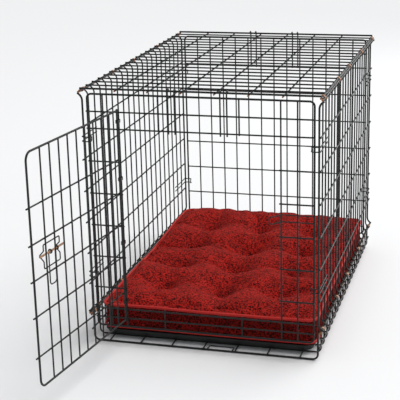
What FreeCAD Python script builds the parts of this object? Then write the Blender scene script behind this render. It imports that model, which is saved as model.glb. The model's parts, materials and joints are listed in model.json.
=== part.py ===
"""Folding wire dog crate with a pan and a pad, as a parametric document.

Millimetres. The origin is on the floor under the middle of the crate; the door
end faces -Y, +X is to the right of somebody facing the door, and +Z is up.
The two side panels turn on the lower hinge wires, the top turns on the side
panels, and the two end panels hang from the top.
"""
import FreeCAD, Part
import Sketcher
import math
import os
from FreeCAD import Placement, Rotation, Vector

doc = FreeCAD.newDocument("WireDogCrate")

# ---------------------------------------------------------------- dimensions
DIMENSIONS = [
    ("width", 612, "between the two lower hinge wires"),
    ("depth", 886, "between the front and rear floor wires"),
    ("height", 680, "upper hinge wires above the floor"),
    ("lip", 75, "lower hinge wires above the floor"),
    ("thick", 2.6, "radius of the frame wires"),
    ("thin", 2.0, "radius of the cross wires"),
    ("hookwire", 1.5, "radius of the hook, loop and handle wires"),
    ("weld", 0.25, "how far two welded wires sink into each other"),
    ("gap", 0.7, "running clearance round a wire that turns"),
    ("overhang", 5, "cut ends of the long wires past the end wires"),
    ("deepbays", 20, "bays from front to rear"),
    ("widebays", 14, "bays across an end panel"),
    ("corner", 14, "bend radius of the floor wires"),
    ("tips", 1, "floor wire tips above the lower hinge wire"),
    ("midlip", 34, "middle lip wire above the floor"),
    ("floorpitch", 85.4, "between the long floor wires"),
    ("toppitch", 85.4, "between the long roof wires"),
    ("offset", 3.9, "side edge wires out and in from their hinge wire"),
    ("face", 1.6, "side wires' outer face inside the hinge wire"),
    ("kick", 52, "slope of the kicked ends of the side wires, degrees"),
    ("sidepitch", 84.3, "between the long side wires"),
    ("panelwidth", 580, "end panel, between its frame wires"),
    ("paneltop", 671, "end panel's top wire above the floor"),
    ("panelfoot", 46, "end panel's bottom wire above the floor"),
    ("panelcorner", 12, "bend radius of the end panel's frame"),
    ("headerpitch", 44, "between the three header wires"),
    ("sillpitch", 25.5, "between the three sill wires"),
    ("barpitch", 85.6, "between the jamb bars"),
    ("doorgap", 13, "door's plane in front of the front panel's"),
    ("doorwidth", 432, "door, between its edge wires"),
    ("doorfoot", 71, "door's bottom wire above the floor"),
    ("doortop", 633, "door's top wire above the floor"),
    ("doorcorner", 20, "bend radius at the door's free corners"),
    ("latchbay", 60, "door's bay beside its free edge"),
    ("dooropen", 98, "door's angle from shut, degrees"),
    ("latchlevel", 375, "latch bolt above the floor"),
    ("bolt", 2.5, "radius of the latch bolt"),
    ("boltlength", 110, "latch bolt"),
    ("boltstart", 276, "latch bolt's tail from the door's hinge"),
    ("boltgrip", 6.6, "keeper's kinks in front of the bolt's plane"),
    ("keeperstart", 306, "keeper's near side from the door's hinge"),
    ("keeperend", 378, "keeper's far side from the door's hinge"),
    ("keeperdrop", 30, "keeper's foot below the bolt"),
    ("keeperrise", 28, "keeper's head above the bolt"),
    ("handlestart", 311, "handle's near leg from the door's hinge"),
    ("handleend", 340, "handle's far leg from the door's hinge"),
    ("handledrop", 84, "handle's legs"),
    ("strikehalf", 9, "strike loop's legs above and below the bolt"),
    ("hookhigh", 555, "upper corner hooks above the floor"),
    ("hooklow", 190, "lower corner hooks above the floor"),
    ("hookcurl", 7, "corner hooks' tips past the frame wire"),
    ("hookspread", 6, "corner hooks' legs above and below their middle"),
    ("curlinner", 58, "inner header curls from the middle"),
    ("curlouter", 75, "outer header curls from the middle"),
    ("curltail", 6, "header curls' feet below the second header bar"),
    ("strap", 1.2, "thickness of the hinge clips"),
    ("strapwidth", 8, "hinge clips, along the wire"),
    ("panwidth", 572, "pan, over its rim"),
    ("pandepth", 834, "pan, over its rim"),
    ("panrise", 16, "pan's rim above its underside"),
    ("panfloor", 9.4, "pan's underside above the floor"),
    ("panwall", 2.5, "pan's sheet"),
    ("pancorner", 28, "pan's corner radius"),
    ("stopwire", 1.25, "radius of the pan stop's wire"),
    ("stopstart", 10, "pan stop's left hook, right of the middle"),
    ("stopend", 76, "pan stop's right hook, right of the middle"),
    ("stopreach", 25, "pan stop, back from the front floor wire"),
    ("padwidth", 576, "pad, over its sides"),
    ("paddepth", 816, "pad, front to rear"),
    ("padfloor", 25.9, "pad's underside above the floor"),
    ("padheight", 65.1, "pad's side walls"),
    ("padcrown", 12, "pad's crown above its walls"),
    ("padcorner", 45, "pad's corner radius"),
    ("piping", 4, "radius of the pad's piping"),
    ("padhem", 4, "lower piping above the pad's underside"),
]
sheet = doc.addObject("Spreadsheet::Sheet", "Dims")
for row, (alias, value, note) in enumerate(DIMENSIONS, start=1):
    sheet.set(f"A{row}", str(value))
    sheet.setAlias(f"A{row}", alias)
    sheet.set(f"B{row}", note)
doc.recompute()


def size(alias):
    """The number in one cell of the sheet."""
    return float(sheet.get(alias))


# Lengths that several parts share, as expressions for the document.
BAY = "Dims.depth / Dims.deepbays"
END = "Dims.depth / 2"
HINGE = "Dims.width / 2"
CELL = "Dims.panelwidth / Dims.widebays"
CROSSING = "(2 * Dims.thin - Dims.weld)"
LAP = "(Dims.thick + Dims.thin - Dims.weld)"
LONG = "Dims.depth + 2 * Dims.overhang"
LEG = f"({LAP} + {CROSSING})"
ENDLEVEL = "(Dims.height + 2 * Dims.thick - Dims.weld)"
PANELPLANE = f"({END} + Dims.thick + Dims.gap + Dims.thin - {LEG})"

# The same lengths as numbers, for the bent wires.
THICK, THIN, HOOKWIRE, WELD, GAP = (size(a) for a in ("thick", "thin", "hookwire", "weld", "gap"))
HALF_WIDTH = size("width") / 2
HALF_DEPTH = size("depth") / 2
BAY_LENGTH = size("depth") / size("deepbays")
CELL_LENGTH = size("panelwidth") / size("widebays")
HALF_PANEL = size("panelwidth") / 2
WIRE_LAP = THICK + THIN - WELD
WIRE_CROSSING = 2 * THIN - WELD
HOOK_LAP = THIN + HOOKWIRE - WELD
LEG_OFFSET = WIRE_LAP + WIRE_CROSSING
END_LEVEL = size("height") + 2 * THICK - WELD
PANEL_PLANE = HALF_DEPTH + THICK + GAP + THIN - LEG_OFFSET
EYE = size("bolt") + 0.5 + HOOKWIRE
BOLT_OFFSET = WIRE_LAP - WIRE_CROSSING + THIN + 0.6 + EYE + HOOKWIRE

nodes = []


# ------------------------------------------------------------ straight wires
TURN = {"x": Rotation(Vector(0, 1, 0), 90), "y": Rotation(Vector(1, 0, 0), -90), "z": Rotation()}


def rod(axis, radius, length, place):
    """A straight wire along one axis, with its middle at place."""
    wire = doc.addObject("Part::Cylinder", "Wire")
    wire.Placement = Placement(Vector(), TURN[axis])
    wire.setExpression("Radius", radius)
    wire.setExpression("Height", length)
    for letter, centre in zip("xyz", place):
        start = f"{centre} - ({length}) / 2" if letter == axis else str(centre)
        wire.setExpression(f"Placement.Base.{letter}", start)
    return wire


def group(label, pieces):
    """One node made of several separate wires."""
    node = doc.addObject("Part::Compound", label)
    node.Label = label
    node.Links = pieces
    nodes.append(node)
    return node


# ---------------------------------------------------------------- bent wires
def rounded_route(points, bend, closed=False):
    """Straight runs through points, with an arc of radius bend at each corner."""
    count = len(points)
    corners = range(count) if closed else range(1, count - 1)
    cuts = {}
    for index in corners:
        corner = points[index]
        back = (points[index - 1] - corner).normalize()
        ahead = (points[(index + 1) % count] - corner).normalize()
        half_angle = back.getAngle(ahead) / 2
        reach = bend / math.tan(half_angle)
        centre = corner + (back + ahead).normalize() * (bend / math.sin(half_angle))
        middle = centre + (corner - centre).normalize() * bend
        cuts[index] = (corner + back * reach, middle, corner + ahead * reach)
    edges = []
    here = cuts[0][2] if closed else points[0]
    for step in range(1, count + 1 if closed else count):
        index = step % count
        if index in cuts:
            start, middle, end = cuts[index]
            edges.append(Part.LineSegment(here, start).toShape())
            edges.append(Part.Arc(start, middle, end).toShape())
            here = end
        else:
            edges.append(Part.LineSegment(here, points[index]).toShape())
    return edges


def sweep(edges, radius):
    """A round wire along a chain of edges."""
    start = edges[0].valueAt(edges[0].FirstParameter)
    heading = edges[0].tangentAt(edges[0].FirstParameter)
    profile = Part.Wire(Part.Circle(start, heading, radius).toShape())
    return Part.Wire(edges).makePipeShell([profile], True, True)


def bent_wire(points, radius, bend, closed=False):
    """A round wire bent through points; a closed one is swept as two halves."""
    edges = rounded_route([Vector(*p) for p in points], bend, closed)
    if not closed:
        return sweep(edges, radius)
    half = len(edges) // 2
    return sweep(edges[:half], radius).fuse(sweep(edges[half:], radius))


def feature(label, solids, placement=None):
    """A node whose solids come from Part's own functions."""
    node = doc.addObject("Part::Feature", label)
    node.Label = label
    node.Shape = Part.makeCompound(solids) if len(solids) > 1 else solids[0]
    if placement:
        node.Placement = placement
    nodes.append(node)
    return node


# -------------------------------------------------------------- hinge straps
def strap_shape(pivot, held, held_radius, pivot_radius, width, axis):
    """A clip bent round a turning wire at pivot and gripping a wire at held."""
    inner = pivot_radius + GAP
    outer = inner + size("strap")
    reach = held - pivot
    towards = Vector(reach).normalize()
    far = pivot + towards * (reach.Length + held_radius - inner - 0.02)
    across = axis.cross(towards)

    def slot(radius):
        first, last = pivot + across * radius, pivot - across * radius
        third, fourth = far - across * radius, far + across * radius
        outline = [
            Part.Arc(first, pivot - towards * radius, last).toShape(),
            Part.LineSegment(last, third).toShape(),
            Part.Arc(third, far + towards * radius, fourth).toShape(),
            Part.LineSegment(fourth, first).toShape(),
        ]
        return Part.Face(Part.Wire(outline)).extrude(axis * width)

    clip = slot(outer).cut(slot(inner))
    clip.translate(axis * (-width / 2))
    return clip


# ------------------------------------------------------------- PartDesign aid
def new_body(label):
    """A PartDesign body that may hold separate solids."""
    body = doc.addObject("PartDesign::Body", label)
    body.Label = label
    body.AllowCompound = True
    nodes.append(body)
    return body


def origin_plane(body, role):
    return next(item for item in body.Origin.OriginFeatures if item.Role == role)


def new_sketch(body, role, name, lift=None):
    """A sketch on one of the body's planes, lifted along its normal."""
    sketch = body.newObject("Sketcher::SketchObject", name)
    sketch.AttachmentSupport = [(origin_plane(body, role), "")]
    sketch.MapMode = "FlatFace"
    if lift:
        sketch.setExpression("AttachmentOffset.Base.z", lift)
    return sketch


def datum(sketch, name, expression, *constraint):
    """Add a named constraint and bind it to the sheet."""
    index = sketch.addConstraint(Sketcher.Constraint(*constraint))
    sketch.renameConstraint(index, name)
    sketch.setExpression(f"Constraints.{name}", expression)


def rounded_box_sketch(body, name, across, along, radius, lift):
    """A rectangle with round corners, centred on the origin."""
    sketch = new_sketch(body, "XY_Plane", name, lift)
    half_x, half_y, turn = 100.0, 150.0, 20.0
    straight = [
        ((-half_x + turn, -half_y), (half_x - turn, -half_y)),
        ((half_x, -half_y + turn), (half_x, half_y - turn)),
        ((half_x - turn, half_y), (-half_x + turn, half_y)),
        ((-half_x, half_y - turn), (-half_x, -half_y + turn)),
    ]
    centres = [(half_x - turn, -half_y + turn), (half_x - turn, half_y - turn),
               (-half_x + turn, half_y - turn), (-half_x + turn, -half_y + turn)]
    for side, ((start, end), centre) in enumerate(zip(straight, centres)):
        sketch.addGeometry(Part.LineSegment(Vector(*start, 0), Vector(*end, 0)))
        circle = Part.Circle(Vector(*centre, 0), Vector(0, 0, 1), turn)
        quarter = math.pi / 2
        sketch.addGeometry(Part.ArcOfCircle(circle, (side - 1) * quarter, side * quarter))
    for side in range(4):
        line, arc, following = 2 * side, 2 * side + 1, (2 * side + 2) % 8
        sketch.addConstraint(Sketcher.Constraint("Tangent", line, 2, arc, 1))
        sketch.addConstraint(Sketcher.Constraint("Tangent", arc, 2, following, 1))
        kind = "Horizontal" if side % 2 == 0 else "Vertical"
        sketch.addConstraint(Sketcher.Constraint(kind, line))
        if side:
            sketch.addConstraint(Sketcher.Constraint("Equal", 1, arc))
    sketch.addConstraint(Sketcher.Constraint("Symmetric", 1, 3, 5, 3, -1, 1))
    datum(sketch, "radius", radius, "Radius", 1, turn)
    datum(sketch, "across", across, "DistanceX", 6, 1, 2, 1, 2 * half_x)
    datum(sketch, "along", along, "DistanceY", 0, 1, 4, 1, 2 * half_y)
    return sketch


def pad_feature(body, sketch, length, name):
    """Extrude a sketch upward."""
    pad = body.newObject("PartDesign::Pad", name)
    pad.Profile = sketch
    pad.setExpression("Length", length)
    return pad


def line_up(body, source, sketch_axis, length, count):
    """Repeat a feature in a straight row."""
    row_of = body.newObject("PartDesign::LinearPattern", "Row")
    row_of.Originals = [source]
    row_of.Direction = sketch_axis
    row_of.setExpression("Length", length)
    row_of.setExpression("Occurrences", count)
    body.Tip = row_of
    return row_of


# ---------------------------------------------------------------------- floor
def floor_wires(label, radius, first, spread, count):
    """Floor wires turned up at both ends into the lip, repeated along the floor."""
    body = new_body(label)
    route = new_sketch(body, "XZ_Plane", "Route", first)
    half, top, turn = 300.0, 76.0, 14.0
    base = 3.0
    lines = [((-half, top), (-half, base + turn)), ((-half + turn, base), (half - turn, base)),
             ((half, base + turn), (half, top))]
    for start, end in lines:
        route.addGeometry(Part.LineSegment(Vector(*start, 0), Vector(*end, 0)))
    for side, angle in ((-1, math.pi), (1, 1.5 * math.pi)):
        circle = Part.Circle(Vector(side * (half - turn), base + turn, 0), Vector(0, 0, 1), turn)
        route.addGeometry(Part.ArcOfCircle(circle, angle, angle + math.pi / 2))
    joints = [(0, 2, 3, 1), (3, 2, 1, 1), (1, 2, 4, 1), (4, 2, 2, 1)]
    for joint in joints:
        route.addConstraint(Sketcher.Constraint("Tangent", *joint))
    route.addConstraint(Sketcher.Constraint("Vertical", 0))
    route.addConstraint(Sketcher.Constraint("Horizontal", 1))
    route.addConstraint(Sketcher.Constraint("Vertical", 2))
    route.addConstraint(Sketcher.Constraint("Equal", 3, 4))
    route.addConstraint(Sketcher.Constraint("Symmetric", 0, 1, 2, 2, -2))
    datum(route, "bend", "Dims.corner", "Radius", 3, turn)
    datum(route, "tip", "Dims.lip + Dims.tips", "DistanceY", -1, 1, 2, 2, top)
    datum(route, "bottom", f"2 * Dims.thick - {radius}", "DistanceY", -1, 1, 1, 1, base)
    face = f"{HINGE} - Dims.thick + Dims.weld - {radius}"
    datum(route, "half", face, "DistanceX", -1, 1, 2, 2, half)
    section = new_sketch(body, "XY_Plane", "Section", "Dims.lip + Dims.tips")
    section.addGeometry(Part.Circle(Vector(-half, -400, 0), Vector(0, 0, 1), 2.0))
    datum(section, "radius", radius, "Radius", 0, 2.0)
    datum(section, "across", face, "DistanceX", 0, 3, -1, 1, half)
    datum(section, "along", first, "DistanceY", 0, 3, -1, 1, 400)
    pipe = body.newObject("PartDesign::AdditivePipe", "Wire")
    pipe.Profile = section
    pipe.Spine = (route, [f"Edge{n}" for n in range(1, 6)])
    line_up(body, pipe, (section, ["V_Axis"]), spread, count)


def build_floor():
    floor_wires("floor_end_wires", "Dims.thick", END, "Dims.depth", "2")
    inner = f"({END} - {BAY})"
    floor_wires("floor_cross_wires", "Dims.thin", inner, f"2 * {inner}", "Dims.deepbays - 1")
    level = "2 * Dims.thick + Dims.thin - Dims.weld"
    group("floor_long_wires", [
        rod("y", "Dims.thin", LONG, (f"{step} * Dims.floorpitch", "0", level))
        for step in range(-3, 4)])
    side = f"({HINGE} - Dims.thick + Dims.thin)"
    group("lip_middle_wires", [
        rod("y", "Dims.thin", LONG, (f"{hand} * {side}", "0", "Dims.midlip"))
        for hand in (-1, 1)])
    for name, hand in (("left", -1), ("right", 1)):
        group(f"{name}_lower_hinge_wire", [
            rod("y", "Dims.thick", LONG, (f"{hand} * {HINGE}", "0", "Dims.lip"))])


# ---------------------------------------------------------------- side panels
LOWER, UPPER = size("lip"), size("height")
BOTTOM_EDGE = Vector(-size("offset"), 0, size("offset"))


def kicked_wire(radius):
    """One upright seen along Y: straight, with both ends kicked outward.

    x runs inward from the hinge wires and z up from the lower one.
    """
    slope = math.radians(size("kick"))
    along = Vector(math.sin(slope), 0, math.cos(slope))
    outward = Vector(-math.cos(slope), 0, math.sin(slope))
    touch = BOTTOM_EDGE + outward * (THICK + radius - WELD)
    tip = touch - along * size("tips")
    plane = size("face") + radius
    knee = touch + along * ((plane - touch.x) / math.sin(slope))
    top = UPPER - LOWER
    points = [tip, knee, Vector(plane, 0, top - knee.z), Vector(tip.x, 0, top - tip.z)]
    return bent_wire(points, radius, 20)


def side_place(hand):
    """From the inward-and-up frame of a side panel to the crate's frame."""
    return lambda shape: (shape if hand < 0 else shape.mirror(Vector(), Vector(1, 0, 0)))


def build_side(name, hand):
    place = side_place(hand)

    def at(solid, along):
        moved = solid.copy()
        moved.translate(Vector(-HALF_WIDTH, along, LOWER))
        return place(moved)

    upright = kicked_wire(THIN)
    inner = range(1, int(size("deepbays")))
    feature(f"{name}_side_uprights", [at(upright, -HALF_DEPTH + n * BAY_LENGTH) for n in inner])
    post = kicked_wire(THICK)
    feature(f"{name}_side_end_posts", [at(post, -HALF_DEPTH), at(post, HALF_DEPTH)])
    edge = f"{hand} * ({HINGE} + Dims.offset)"
    group(f"{name}_side_edge_wires", [
        rod("y", "Dims.thick", LONG, (edge, "0", "Dims.lip + Dims.offset")),
        rod("y", "Dims.thick", LONG, (edge, "0", "Dims.height - Dims.offset"))])
    line = f"{hand} * ({HINGE} - Dims.face + Dims.thin - Dims.weld)"
    group(f"{name}_side_long_wires", [
        rod("y", "Dims.thin", LONG, (line, "0", f"Dims.panelfoot + {step} * Dims.sidepitch + 32"))
        for step in range(1, 7)])
    build_clips(name, at)
    build_hooks(name, at)


def build_clips(name, at):
    """Clips that hold each edge of the side panel to its hinge wire."""
    forward = Vector(0, 1, 0)
    spots = [-HALF_DEPTH + (bay + 0.5) * BAY_LENGTH for bay in (0, 5, 9, 14, 19)]
    lower = strap_shape(Vector(), BOTTOM_EDGE, THICK, THICK, size("strapwidth"), forward)
    feature(f"{name}_lower_clips", [at(lower, spot) for spot in spots])
    pivot = Vector(0, 0, UPPER - LOWER)
    held = pivot + Vector(-size("offset"), 0, -size("offset"))
    upper = strap_shape(pivot, held, THICK, THICK, size("strapwidth"), forward)
    feature(f"{name}_upper_clips", [at(upper, spot) for spot in spots])


def build_hooks(name, at):
    """U-shaped hooks across two uprights, curled round an end panel's frame wire."""
    outside = size("face") - HOOKWIRE + WELD
    frame_inward = HALF_WIDTH - HALF_PANEL
    frame_back = PANEL_PLANE
    curl = size("hookcurl")
    spread = size("hookspread")
    for end_name, end in (("front", -1), ("rear", 1)):
        route = []
        start = HALF_DEPTH - 2.3 * BAY_LENGTH
        for level in (spread, -spread):
            leg = [
                (outside, end * start, level),
                (outside, end * (HALF_DEPTH + 5), level),
                (frame_inward - 2, end * (frame_back + curl + 3), level),
                (frame_inward + curl, end * (frame_back + curl), level),
                (frame_inward + curl, end * (frame_back - 2), level),
            ]
            route += leg if level > 0 else leg[::-1]
        hook = bent_wire(route, HOOKWIRE, 4)
        levels = (size("hookhigh") - LOWER, size("hooklow") - LOWER)
        solids = []
        for level in levels:
            copy = hook.copy()
            copy.translate(Vector(0, 0, level))
            solids.append(at(copy, 0))
        feature(f"{name}_{end_name}_hooks", solids)


# ----------------------------------------------------------------------- top
def build_top():
    across = "Dims.width + 2.4"
    level = f"Dims.height + {LAP}"
    group("top_cross_wires", [
        rod("x", "Dims.thin", across, ("0", f"{step} * {BAY}", level))
        for step in range(-9, 10)])
    group("top_end_wires", [
        rod("x", "Dims.thick", across, ("0", f"{end} * {END}", ENDLEVEL)) for end in (-1, 1)])
    long_level = f"Dims.height + {LAP} - {CROSSING}"
    group("top_long_wires", [
        rod("y", "Dims.thin", LONG, (f"{step} * Dims.toppitch", "0", long_level))
        for step in (-2.5, -1.5, -0.5, 0.5, 1.5, 2.5)])
    group("top_hinge_wires", [
        rod("y", "Dims.thick", LONG, (f"{hand} * {HINGE}", "0", "Dims.height")) for hand in (-1, 1)])


# ----------------------------------------------------------------- end panels
def panel_frame(label, end):
    """The rounded frame of an end panel, in one closed loop."""
    top, foot, plane = size("paneltop"), size("panelfoot"), end * PANEL_PLANE
    corners = [(-HALF_PANEL, plane, foot), (HALF_PANEL, plane, foot),
               (HALF_PANEL, plane, top), (-HALF_PANEL, plane, top)]
    feature(label, [bent_wire(corners, THICK, size("panelcorner"), closed=True)])


def upright(step, low, high, end):
    """An upright in the frame's plane, from one level to another."""
    length = f"({high}) - ({low})"
    middle = f"(({high}) + ({low})) / 2"
    plane = f"{end} * ({PANELPLANE} + {LAP} - {CROSSING})"
    return rod("z", "Dims.thin", length, (f"{step} * {CELL}", plane, middle))


def crossbar(level, length, middle, end):
    """A bar across an end panel, on the outside of its frame."""
    plane = f"{end} * ({PANELPLANE} + {LAP})"
    return rod("x", "Dims.thin", length, (middle, plane, level))


FRAME_TOP_FACE = "Dims.paneltop - Dims.thick + 0.1"
FRAME_FOOT_FACE = "Dims.panelfoot + Dims.thick - 0.1"
FULL_BAR = "Dims.panelwidth + 2 * Dims.thick"


def curls(label, end):
    """Pairs of legs on the header that curl over the top's end wire."""
    reach = THICK + GAP + THIN
    leg = end * (HALF_DEPTH + reach)
    foot = size("paneltop") - 2 * size("headerpitch") - size("curltail")
    inner, outer = size("curlinner"), size("curlouter")
    solids = []
    for spot in (-outer, -inner, inner, outer):
        low, high = Vector(spot, leg, foot), Vector(spot, leg, END_LEVEL)
        over = Vector(spot, end * HALF_DEPTH, END_LEVEL + reach)
        behind = Vector(spot, end * (HALF_DEPTH - reach), END_LEVEL)
        edges = [Part.LineSegment(low, high).toShape(), Part.Arc(high, over, behind).toShape()]
        solids.append(sweep(edges, THIN))
    feature(label, solids)


def build_front():
    panel_frame("front_frame", -1)
    jambs = [upright(step, FRAME_FOOT_FACE, FRAME_TOP_FACE, -1) for step in (-6, -5, 5, 6)]
    group("front_jamb_wires", jambs)
    header_foot = "Dims.paneltop - 2 * Dims.headerpitch - 4"
    sill_top = "Dims.panelfoot + 2 * Dims.sillpitch + 4"
    stubs = [upright(step, header_foot, FRAME_TOP_FACE, -1) for step in (-2.5, 2.5)]
    group("header_uprights", stubs)
    group("sill_uprights", [upright(step, FRAME_FOOT_FACE, sill_top, -1) for step in (-2.5, 2.5)])
    group("header_bars", [
        crossbar(f"Dims.paneltop - {step} * Dims.headerpitch", FULL_BAR, "0", -1)
        for step in (1, 2)])
    group("sill_bars", [
        crossbar(f"Dims.panelfoot + {step} * Dims.sillpitch", FULL_BAR, "0", -1)
        for step in (1, 2)])
    jamb_length = f"(2 * {CELL} + Dims.thick + 4)"
    middle = f"(Dims.panelwidth / 2 + Dims.thick - {jamb_length} / 2)"
    for name, hand in (("left", -1), ("right", 1)):
        group(f"{name}_jamb_bars", [
            crossbar(f"Dims.paneltop - 2 * Dims.headerpitch - {step} * Dims.barpitch",
                     jamb_length, f"{hand} * {middle}", -1)
            for step in range(1, 6)])
    curls("front_hinge_curls", -1)
    build_strike()
    build_door_straps()


def build_strike():
    """The loop that the latch bolt enters, bent forward through the door's last bay."""
    plane = -(PANEL_PLANE + WIRE_LAP - WIRE_CROSSING + HOOK_LAP)
    door_plane = -(PANEL_PLANE + size("doorgap"))
    loop_plane = door_plane - BOLT_OFFSET - size("bolt") - HOOKWIRE - 0.9
    jamb = HALF_PANEL - 2 * CELL_LENGTH
    level = size("latchlevel")
    route = []
    for side in (size("strikehalf"), -size("strikehalf")):
        leg = [
            (HALF_PANEL + 3, plane, level + side),
            (jamb + 4, plane, level + side),
            (jamb - 17, loop_plane, level + side),
            (jamb - 24, loop_plane, level + side),
        ]
        route += leg if side > 0 else leg[::-1]
    feature("strike_loop", [bent_wire(route, HOOKWIRE, 3)])


def build_door_straps():
    """Clips round the left jamb wire that the door's hinge wire turns in."""
    across = -(HALF_PANEL - 2 * CELL_LENGTH)
    jamb = Vector(across, -(PANEL_PLANE + WIRE_LAP - WIRE_CROSSING), 0)
    hinge = Vector(across, -(PANEL_PLANE + size("doorgap")), 0)
    clip = strap_shape(hinge, jamb, THIN, THICK, size("strapwidth"), Vector(0, 0, 1))
    solids = []
    for level in (120, 284, 455, 605):
        copy = clip.copy()
        copy.translate(Vector(0, 0, level))
        solids.append(copy)
    feature("door_hinge_clips", solids)


def build_rear():
    panel_frame("rear_frame", 1)
    group("rear_uprights", [
        upright(step, FRAME_FOOT_FACE, FRAME_TOP_FACE, 1) for step in range(-6, 7)])
    levels = [f"Dims.paneltop - {step} * Dims.headerpitch" for step in (1, 2)]
    levels += [f"Dims.paneltop - 2 * Dims.headerpitch - {step} * Dims.barpitch" for step in range(1, 7)]
    group("rear_bars", [crossbar(level, FULL_BAR, "0", 1) for level in levels])
    curls("rear_hinge_curls", 1)


# ----------------------------------------------------------------------- door
# The door is drawn in its own frame: x along the door from its hinge wire, y
# towards the crate and z up; its Placement then opens it about the hinge.
DOOR_AXIS = Vector(-(HALF_PANEL - 2 * CELL_LENGTH), -(PANEL_PLANE + size("doorgap")), 0)


def hang(node):
    """Place a door part on the hinge, opened to the door's angle."""
    node.Placement = Placement(DOOR_AXIS, Rotation(Vector(0, 0, 1), -size("dooropen")))
    node.setExpression("Placement.Rotation.Angle", "-Dims.dooropen")
    node.setExpression("Placement.Base.x", f"2 * {CELL} - Dims.panelwidth / 2")
    node.setExpression("Placement.Base.y", f"-({PANELPLANE} + Dims.doorgap)")


def build_door():
    width, foot, top = size("doorwidth"), size("doorfoot"), size("doortop")
    bend = size("doorcorner")
    over = 3.0
    butt = THICK - 0.1
    free = bent_wire([(butt, 0, foot), (width, 0, foot), (width, 0, top), (butt, 0, top)], THICK, bend)
    hang(feature("door_frame", [free]))
    hinge = rod("z", "Dims.thick", "Dims.doortop - Dims.doorfoot + 8",
                ("0", "0", "(Dims.doortop + Dims.doorfoot) / 2"))
    hang(group("door_hinge_wire", [hinge]))
    pitch = "(Dims.doorwidth - Dims.latchbay) / 9"
    length = "(Dims.doortop - Dims.doorfoot - 2 * Dims.thick + 0.2)"
    middle = "(Dims.doortop + Dims.doorfoot) / 2"
    plane = f"{CROSSING} - {LAP}"
    hang(group("door_uprights", [
        rod("z", "Dims.thin", length, (f"{step} * {pitch}", plane, middle)) for step in range(1, 10)]))
    bar_length = f"(Dims.doorwidth + 2 * Dims.thick + {over})"
    bar_middle = f"(Dims.doorwidth + {over}) / 2"
    bars = [f"Dims.doortop - {drop}" for drop in (128, 216, 302, 389, 488)]
    hang(group("door_bars", [
        rod("x", "Dims.thin", bar_length, (bar_middle, f"-{LAP}", level)) for level in bars]))
    build_latch()


def build_latch():
    """The keeper on the door, and the sliding bolt with its hanging handle."""
    level = size("latchlevel")
    face = -(WIRE_LAP - WIRE_CROSSING) - HOOK_LAP
    bolt_plane = -BOLT_OFFSET
    kink_plane = bolt_plane - size("boltgrip")
    near, far = size("keeperstart"), size("keeperend")
    low, high, kink = level - size("keeperdrop"), level + size("keeperrise"), 13.0
    route = [
        (near, face, low), (far, face, low), (far, face, level - kink), (far, kink_plane, level),
        (far, face, level + kink), (far, face, high), (near, face, high),
        (near, face, level + kink), (near, kink_plane, level), (near, face, level - kink),
    ]
    hang(feature("latch_keeper", [bent_wire(route, HOOKWIRE, 3.5, closed=True)]))
    bolt = rod("x", "Dims.bolt", "Dims.boltlength",
               ("Dims.boltstart + Dims.boltlength / 2", f"{bolt_plane}", "Dims.latchlevel"))
    hang(group("latch_bolt", [bolt]))
    handle_plane = bolt_plane - EYE
    first, last, drop = size("handlestart"), size("handleend"), size("handledrop")
    eyes = [Part.makeTorus(EYE, HOOKWIRE, Vector(spot, bolt_plane, level), Vector(1, 0, 0))
            for spot in (first, last)]
    bail = bent_wire([(first, handle_plane, level), (first, handle_plane, level - drop),
                      (last, handle_plane, level - drop), (last, handle_plane, level)], HOOKWIRE, 8)
    hang(feature("latch_handle", [bail.multiFuse(eyes)]))


# --------------------------------------------------------------- pan and stop
def build_pan():
    body = new_body("pan")
    outline = rounded_box_sketch(body, "Outline", "Dims.panwidth", "Dims.pandepth",
                                 "Dims.pancorner", "Dims.panfloor")
    pad_feature(body, outline, "Dims.panrise", "Tray")
    inside = rounded_box_sketch(body, "Inside", "Dims.panwidth - 2 * Dims.panwall",
                                "Dims.pandepth - 2 * Dims.panwall",
                                "Dims.pancorner - Dims.panwall", "Dims.panfloor + Dims.panrise")
    hollow = body.newObject("PartDesign::Pocket", "Hollow")
    hollow.Profile = inside
    hollow.setExpression("Length", "Dims.panrise - Dims.panwall")


def build_pan_stop():
    """A bail hooked over the front floor wire, lying in the first bay."""
    wire = size("stopwire")
    ring = THICK + 0.5 + wire
    first, last, reach = size("stopstart"), size("stopend"), size("stopreach")
    route = [(first, -HALF_DEPTH + ring, THICK), (first, -HALF_DEPTH + reach, THICK),
             (last, -HALF_DEPTH + reach, THICK), (last, -HALF_DEPTH + ring, THICK)]
    bail = bent_wire(route, wire, 4)
    hooks = []
    for spot in (first, last):
        start = Vector(spot, -HALF_DEPTH + ring, THICK)
        corner = ring * math.sqrt(0.5)
        middle = Vector(spot, -HALF_DEPTH + corner, THICK + corner)
        end = Vector(spot, -HALF_DEPTH, THICK + ring)
        hooks.append(sweep([Part.Arc(start, middle, end).toShape()], wire))
    feature("pan_stop", [bail.multiFuse(hooks)])


# ------------------------------------------------------------------------ pad
def build_pad():
    body = new_body("pad_cushion")
    outline = rounded_box_sketch(body, "Outline", "Dims.padwidth", "Dims.paddepth",
                                 "Dims.padcorner", "Dims.padfloor")
    cushion = pad_feature(body, outline, "Dims.padheight + Dims.padcrown", "Cushion")
    doc.recompute()
    faces = cushion.Shape.Faces
    top = max(range(len(faces)), key=lambda number: faces[number].CenterOfMass.z)
    crown = body.newObject("PartDesign::Chamfer", "Crown")
    crown.Base = (cushion, [f"Face{top + 1}"])
    crown.setExpression("Size", "Dims.padcrown")
    for name, level in (("top", "Dims.padheight"), ("bottom", "Dims.padhem")):
        build_piping(name, level)


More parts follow.
